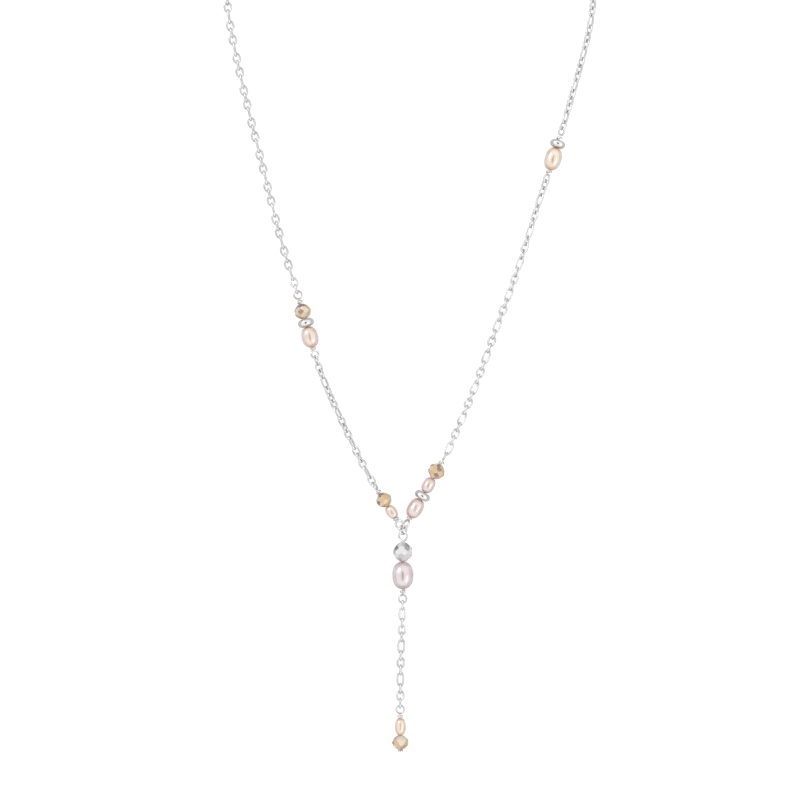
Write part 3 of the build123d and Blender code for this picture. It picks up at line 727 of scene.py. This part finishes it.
class NECKLACE_OT_rondelles(bpy.types.Operator):
    """Draw the polished rondelles"""
    bl_idname = "necklace.rondelles"
    bl_label = "Rondelles"

    def execute(self, context):
        sizes = context.scene.necklace_beads
        for node in nodes_of("silver_rondelle"):
            middle, axis, half, radius, bore = bead_place(node)
            mesh = turned_mesh(node + "_turned", rondelle_profile(half, radius, bore), sizes.rondelle_sides)
            mesh.transform(axis_matrix(middle, axis))
            mesh.shade_smooth()
            mesh.set_sharp_from_angle(angle=math.radians(40))
            stand_for(add_object(node + "_turned", mesh, material(mirror_silver)), node)
        return {"FINISHED"}


# ---------------------------------------------------------------- crystals
def cut_plane(shape, point, normal):
    """Cuts off what lies outside a plane and closes the cut."""
    geometry = shape.verts[:] + shape.edges[:] + shape.faces[:]
    cut = bmesh.ops.bisect_plane(shape, geom=geometry, plane_co=point, plane_no=normal,
                                 clear_outer=True, dist=1e-9)
    edges = [part for part in cut["geom_cut"] if isinstance(part, bmesh.types.BMEdge)]
    open_edges = [edge for edge in edges if edge.is_boundary]
    if open_edges:
        bmesh.ops.edgenet_fill(shape, edges=open_edges)


def cut_bead(name, half, radius, bore, facets, seed):
    """Faceted round: staggered rows of flat facets, two flat ends and a bore."""
    shape = bmesh.new()
    bmesh.ops.create_cube(shape, size=2.0)
    bmesh.ops.scale(shape, vec=(half, radius * 1.4, radius * 1.4), verts=shape.verts)
    stretch = half / radius
    for latitude, stagger in FACET_ROWS:
        lean = math.radians(latitude)
        for i in range(facets):
            turn = 2 * math.pi * (i + stagger) / facets
            round_axis = Vector((0, math.cos(turn), math.sin(turn)))
            normal = (Vector((math.sin(lean) / stretch, 0, 0)) + round_axis * math.cos(lean)).normalized()
            point = Vector((math.sin(lean) * stretch, 0, 0)) + round_axis * math.cos(lean)
            point *= radius * FLAT_SHARE
            mouth = Vector((math.copysign(half, lean), 0, 0)) + round_axis * (bore + MOUTH_RIM)
            cut_plane(shape, normal * max(point.dot(normal), mouth.dot(normal) if lean else 0.0), normal)
    bmesh.ops.remove_doubles(shape, verts=shape.verts, dist=1e-6 * 2)
    bmesh.ops.dissolve_limit(shape, angle_limit=0.01, verts=shape.verts, edges=shape.edges)
    drill(shape, half, bore)
    bmesh.ops.recalc_face_normals(shape, faces=shape.faces)
    mesh = bpy.data.meshes.new(name)
    shape.to_mesh(mesh)
    shape.free()
    draw = random.Random(seed)
    # painted reflection and shade: a random tone for each facet
    tone = mesh.attributes.new("facet", "FLOAT", "FACE")
    for value in tone.data:
        value.value = draw.random()
    return mesh


def drill(shape, half, bore):
    """Replaces the two flat ends by rings round a bore."""
    mouths = []
    for side in (-1, 1):
        end = next(face for face in shape.faces
                   if abs(face.calc_center_median().x - side * half) < half * 1e-3
                   and abs(face.normal.x) > 0.99)
        outline = [vertex for vertex in end.verts]
        outline.sort(key=lambda vertex: math.atan2(vertex.co.z, vertex.co.y))
        mouth = []
        for vertex in outline:
            angle = math.atan2(vertex.co.z, vertex.co.y)
            mouth.append(shape.verts.new((side * half, bore * math.cos(angle), bore * math.sin(angle))))
        shape.faces.remove(end)
        count = len(outline)
        for i in range(count):
            j = (i + 1) % count
            shape.faces.new((outline[i], outline[j], mouth[j], mouth[i]))
        mouths.append(mouth)
    count = len(mouths[0])
    if count != len(mouths[1]):
        raise RuntimeError("the two ends of a crystal differ")
    for i in range(count):
        j = (i + 1) % count
        shape.faces.new((mouths[0][i], mouths[0][j], mouths[1][j], mouths[1][i]))


class NECKLACE_OT_crystals(bpy.types.Operator):
    """Cut the champagne crystals and the clear ball"""
    bl_idname = "necklace.crystals"
    bl_label = "Crystals"

    def execute(self, context):
        sizes = context.scene.necklace_beads
        hues = context.scene.necklace_colours
        # painted reflection and shade: the facets run from pale champagne flashes through the amber glass to dark
        # rosewood
        champagne = material(cut_crystal, "crystal_champagne_lustre",
                             [(0.3, hues.champagne), (0.45, hues.amber), (0.75, hues.amber),
                              (0.88, hues.rosewood)], 0.4)
        # painted reflection and shade: the clear crystal's facets run from clear through grey to dark
        clear = material(cut_crystal, "crystal_clear",
                         [(0.66, hues.clear), (0.8, hues.tarnish_and_facet_shade), (0.95, hues.clear_facet_shade)], 0.35)
        for seed, node in enumerate(nodes_of("champagne_crystal", "clear_crystal")):
            middle, axis, half, radius, bore = bead_place(node)
            mesh = cut_bead(node + "_cut", half, radius, bore, sizes.facets, seed)
            mesh.transform(axis_matrix(middle, axis))
            finish = clear if SLOTS[node] == "clear_crystal" else champagne
            stand_for(add_object(node + "_cut", mesh, finish), node)
        return {"FINISHED"}


# ---------------------------------------------------------------- stage
class StageSizes(bpy.types.PropertyGroup):
    """Floor and camera."""
    floor_half: length("Floor half width", "Half the width of the table top", 3.0)
    view_width: length("View width", "Width that the camera sees at the table", 212 * MM)
    view_right: FloatProperty(name="View right", description="Camera's place right of the centre ring",
                              default=-0.8 * MM, subtype="DISTANCE", unit="LENGTH", precision=5)
    view_up: FloatProperty(name="View up",
                           description="Camera's place above the centre ring, towards the clasp",
                           default=34.4 * MM, subtype="DISTANCE", unit="LENGTH", precision=5)
    lens: FloatProperty(name="Lens", description="Focal length in millimetres", default=100.0, min=10.0)


def make_sky(scene):
    """White dome with a dark low band and a slit overhead, so that metal and pearls show their form."""
    world = bpy.data.worlds.new("studio_dome")
    scene.world = world
    world.use_nodes = True
    tree = world.node_tree
    tree.nodes.clear()
    place = add_node(tree, "ShaderNodeTexCoord", at=(-900, 0)).outputs["Generated"]
    parts = add_node(tree, "ShaderNodeSeparateXYZ", links={"Vector": place}, at=(-700, 0))
    rise = add_node(tree, "ShaderNodeValToRGB", links={"Fac": parts.outputs["Z"]}, at=(-450, 0))
    set_ramp(rise, [(0.0, (0.2, 0.2, 0.21)), (0.06, (0.25, 0.25, 0.26)), (0.2, (1.0, 1.0, 1.0))])
    slit = add_node(tree, "ShaderNodeVectorMath",
                    {"operation": "MULTIPLY", 1: (1 / DOME_SLIT[0], 1 / DOME_SLIT[1], 0.0)},
                    {0: place}, (-700, -250))
    reach = add_node(tree, "ShaderNodeVectorMath", {"operation": "LENGTH"},
                     {0: slit.outputs["Vector"]}, (-500, -250))
    opening = add_node(tree, "ShaderNodeMapRange", {"From Min": 0.75, "From Max": 1.1, "To Min": 0.08},
                       {"Value": reach.outputs["Value"]}, (-300, -250))
    both = add_node(tree, "ShaderNodeVectorMath", {"operation": "SCALE"},
                    {0: rise.outputs["Color"], "Scale": opening.outputs["Result"]}, (-150, 150))
    light = add_node(tree, "ShaderNodeBackground", {"Strength": DOME_LIGHT},
                     {"Color": both.outputs["Vector"]}, (-150, 0))
    add_node(tree, "ShaderNodeOutputWorld", links={"Surface": light.outputs["Background"]}, at=(100, 0))


class NECKLACE_OT_stage(bpy.types.Operator):
    """Lay the table top, the studio light and the camera"""
    bl_idname = "necklace.stage"
    bl_label = "Stage"

    def execute(self, context):
        scene = context.scene
        sizes = scene.necklace_stage
        half = sizes.floor_half
        mesh = bpy.data.meshes.new("table_top")
        corners = [(-half, -half, 0), (half, -half, 0), (half, half, 0), (-half, half, 0)]
        mesh.from_pydata(corners, [], [(0, 1, 2, 3)])
        add_object("table_top", mesh, material(table_top))
        make_sky(scene)
        low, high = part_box("centre_ring")
        aim = (low + high) / 2 + Vector((sizes.view_right, sizes.view_up, 0))
        data = bpy.data.cameras.new("camera")
        data.lens = sizes.lens
        data.clip_end = 10.0
        camera = bpy.data.objects.new("camera", data)
        camera.location = aim + Vector((0, 0, sizes.view_width * data.lens / data.sensor_width))
        scene.collection.objects.link(camera)
        scene.camera = camera
        panels = (("key_panel", (-0.9, 0.7, 0.9), 0.8, 3.0), ("fill_panel", (0.9, -0.5, 0.9), 0.9, 1.5))
        for name, at, size, power in panels:
            lamp = bpy.data.lights.new(name, "AREA")
            lamp.shape = "RECTANGLE"
            lamp.size = size
            lamp.size_y = size * 0.6
            lamp.energy = power
            light = bpy.data.objects.new(name, lamp)
            light.location = at
            light.rotation_euler = (aim - Vector(at)).to_track_quat("-Z", "Y").to_euler()
            scene.collection.objects.link(light)
        scene.view_settings.view_transform = "Standard"
        return {"FINISHED"}


# ---------------------------------------------------------------- panel
OPERATORS = (NECKLACE_OT_links, NECKLACE_OT_wires, NECKLACE_OT_clasp, NECKLACE_OT_pearls,
             NECKLACE_OT_rondelles, NECKLACE_OT_crystals, NECKLACE_OT_stage)
GROUPS = {"necklace_chain": ChainSizes, "necklace_pearls": PearlSizes, "necklace_beads": BeadSizes,
          "necklace_colours": NecklaceColours, "necklace_stage": StageSizes}


class NECKLACE_PT_panel(bpy.types.Panel):
    """Sizes, colours and makers of the necklace"""
    bl_label = "Necklace"
    bl_idname = "NECKLACE_PT_panel"
    bl_space_type = "VIEW_3D"
    bl_region_type = "UI"
    bl_category = "Necklace"

    def draw(self, context):
        for operator in OPERATORS:
            self.layout.operator(operator.bl_idname)
        for name, group in GROUPS.items():
            box = self.layout.box()
            box.label(text=group.__doc__)
            for key in group.__annotations__:
                box.prop(getattr(context.scene, name), key)


def register():
    for kind in (*GROUPS.values(), *OPERATORS, NECKLACE_PT_panel):
        bpy.utils.register_class(kind)
    for name, group in GROUPS.items():
        setattr(bpy.types.Scene, name, PointerProperty(type=group))


def unregister():
    for name in GROUPS:
        delattr(bpy.types.Scene, name)
    for kind in reversed((*GROUPS.values(), *OPERATORS, NECKLACE_PT_panel)):
        bpy.utils.unregister_class(kind)


def main():
    register()
    for operator in OPERATORS:
        group, name = operator.bl_idname.split(".")
        getattr(getattr(bpy.ops, group), name)()


if __name__ == "__main__":
    main()
